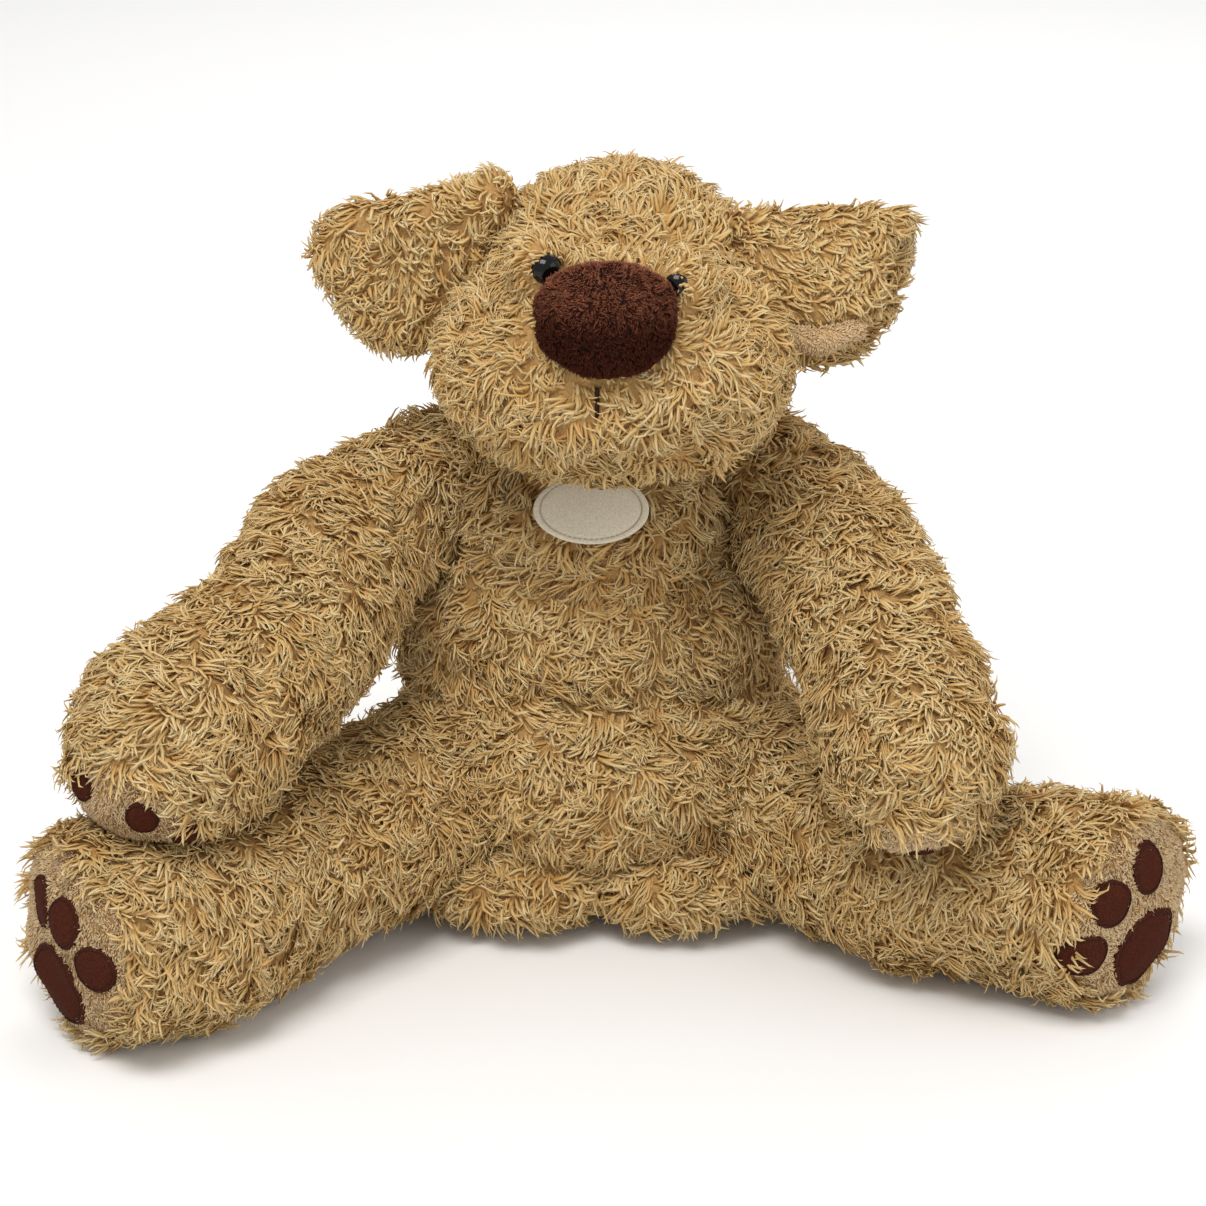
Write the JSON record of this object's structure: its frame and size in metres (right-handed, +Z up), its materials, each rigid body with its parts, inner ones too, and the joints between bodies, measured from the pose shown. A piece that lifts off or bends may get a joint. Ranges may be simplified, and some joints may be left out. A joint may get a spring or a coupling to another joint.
{
  "type": "plush dog",
  "caption": "Sitting plush dog with long curly fur, a big brown plush nose, glossy eyes, folded ears and suede paw pads; head, ears, arms, legs and tail move.",
  "frame": {"origin": "on the floor, under the middle of the seat", "axes": "+Z up, the dog faces -Y, +X is the dog's own left"},
  "size_m": [0.4071, 0.2746, 0.2695],
  "materials": {
    "fur": "long curly pile in tufts, golden tan with cream tips, matt",
    "short_pile": "short brushed pile, tan",
    "nose_plush": "dense short dark brown plush with a soft sheen",
    "pad_suede": "flat dark brown suede cloth",
    "eye_plastic": "polished black",
    "thread": "dark brown twisted thread",
    "tag_cloth": "cream felted cloth",
    "tag_thread": "pale tan twisted thread",
    "stuffing": "white polyester fibre",
    "bag_cloth": "undyed woven cotton",
    "pellets": "white plastic beans",
    "washer_plastic": "moulded white"
  },
  "bodies": {
    "torso": {"back_closing_stitches": "thread", "name_tag": "tag_cloth", "name_tag_stitching": "tag_thread", "pellet_bag": "bag_cloth", "pellets": "pellets", "torso_back_left_panel": "fur", "torso_back_right_panel": "fur", "torso_front_left_panel": "fur", "torso_front_right_panel": "fur", "torso_stuffing": "stuffing"},
    "neck": {"neck_stuffing": "stuffing"},
    "head": {"head_centre_gusset": "fur", "head_chin_panel": "fur", "head_left_face_panel": "fur", "head_right_face_panel": "fur", "head_stuffing": "stuffing", "left_eye_button": "eye_plastic", "left_eye_washer": "washer_plastic", "mouth_stitch": "thread", "nose_cover": "nose_plush", "nose_stuffing": "stuffing", "right_eye_button": "eye_plastic", "right_eye_washer": "washer_plastic"},
    "left_ear": {"left_ear_lining": "short_pile", "left_ear_outer": "fur"},
    "right_ear": {"right_ear_lining": "short_pile", "right_ear_outer": "fur"},
    "left_arm": {"left_arm_back_panel": "fur", "left_arm_front_panel": "fur", "left_arm_stuffing": "stuffing", "left_paw_main_pad": "pad_suede", "left_paw_sole": "short_pile", "left_paw_toe_pads": "pad_suede"},
    "right_arm": {"right_arm_back_panel": "fur", "right_arm_front_panel": "fur", "right_arm_stuffing": "stuffing", "right_paw_main_pad": "pad_suede", "right_paw_sole": "short_pile", "right_paw_toe_pads": "pad_suede"},
    "left_leg": {"left_foot_main_pad": "pad_suede", "left_foot_sole": "short_pile", "left_foot_toe_pads": "pad_suede", "left_leg_bottom_panel": "fur", "left_leg_stuffing": "stuffing", "left_leg_top_panel": "fur"},
    "right_leg": {"right_foot_main_pad": "pad_suede", "right_foot_sole": "short_pile", "right_foot_toe_pads": "pad_suede", "right_leg_bottom_panel": "fur", "right_leg_stuffing": "stuffing", "right_leg_top_panel": "fur"},
    "tail": {"tail_cover": "fur", "tail_stuffing": "stuffing"}
  },
  "joints": [
    {"name": "neck_turn", "type": "hinge", "parent": "torso", "child": "neck", "pos_m": [0, 0.006, 0.168], "axis": [0, 0, 1], "range_deg": [-25, 25]},
    {"name": "neck_nod", "type": "hinge", "parent": "neck", "child": "head", "pos_m": [0, 0.006, 0.168], "axis": [1, 0, 0], "range_deg": [-20, 2]},
    {"name": "left_ear_swing", "type": "hinge", "parent": "head", "child": "left_ear", "pos_m": [-0.052, -0.012, 0.207], "axis": [0.2647, 0, 0.9643], "range_deg": [-28, 28]},
    {"name": "right_ear_swing", "type": "hinge", "parent": "head", "child": "right_ear", "pos_m": [0.057, -0.012, 0.207], "axis": [-0.2747, 0, 0.9615], "range_deg": [-28, 28]},
    {"name": "left_shoulder", "type": "hinge", "parent": "torso", "child": "left_arm", "pos_m": [-0.06, 0.004, 0.146], "axis": [0, 1, 0], "range_deg": [0, 30]},
    {"name": "right_shoulder", "type": "hinge", "parent": "torso", "child": "right_arm", "pos_m": [0.06, 0.004, 0.146], "axis": [0, -1, 0], "range_deg": [0, 30]},
    {"name": "left_hip", "type": "hinge", "parent": "torso", "child": "left_leg", "pos_m": [-0.052, -0.026, 0.034], "axis": [0, 0, -1], "range_deg": [-10, 12]},
    {"name": "right_hip", "type": "hinge", "parent": "torso", "child": "right_leg", "pos_m": [0.052, -0.026, 0.034], "axis": [0, 0, 1], "range_deg": [-10, 12]},
    {"name": "tail_wag", "type": "hinge", "parent": "torso", "child": "tail", "pos_m": [0, 0.053, 0.04], "axis": [0, 0, 1], "range_deg": [-25, 25]}
  ]
}
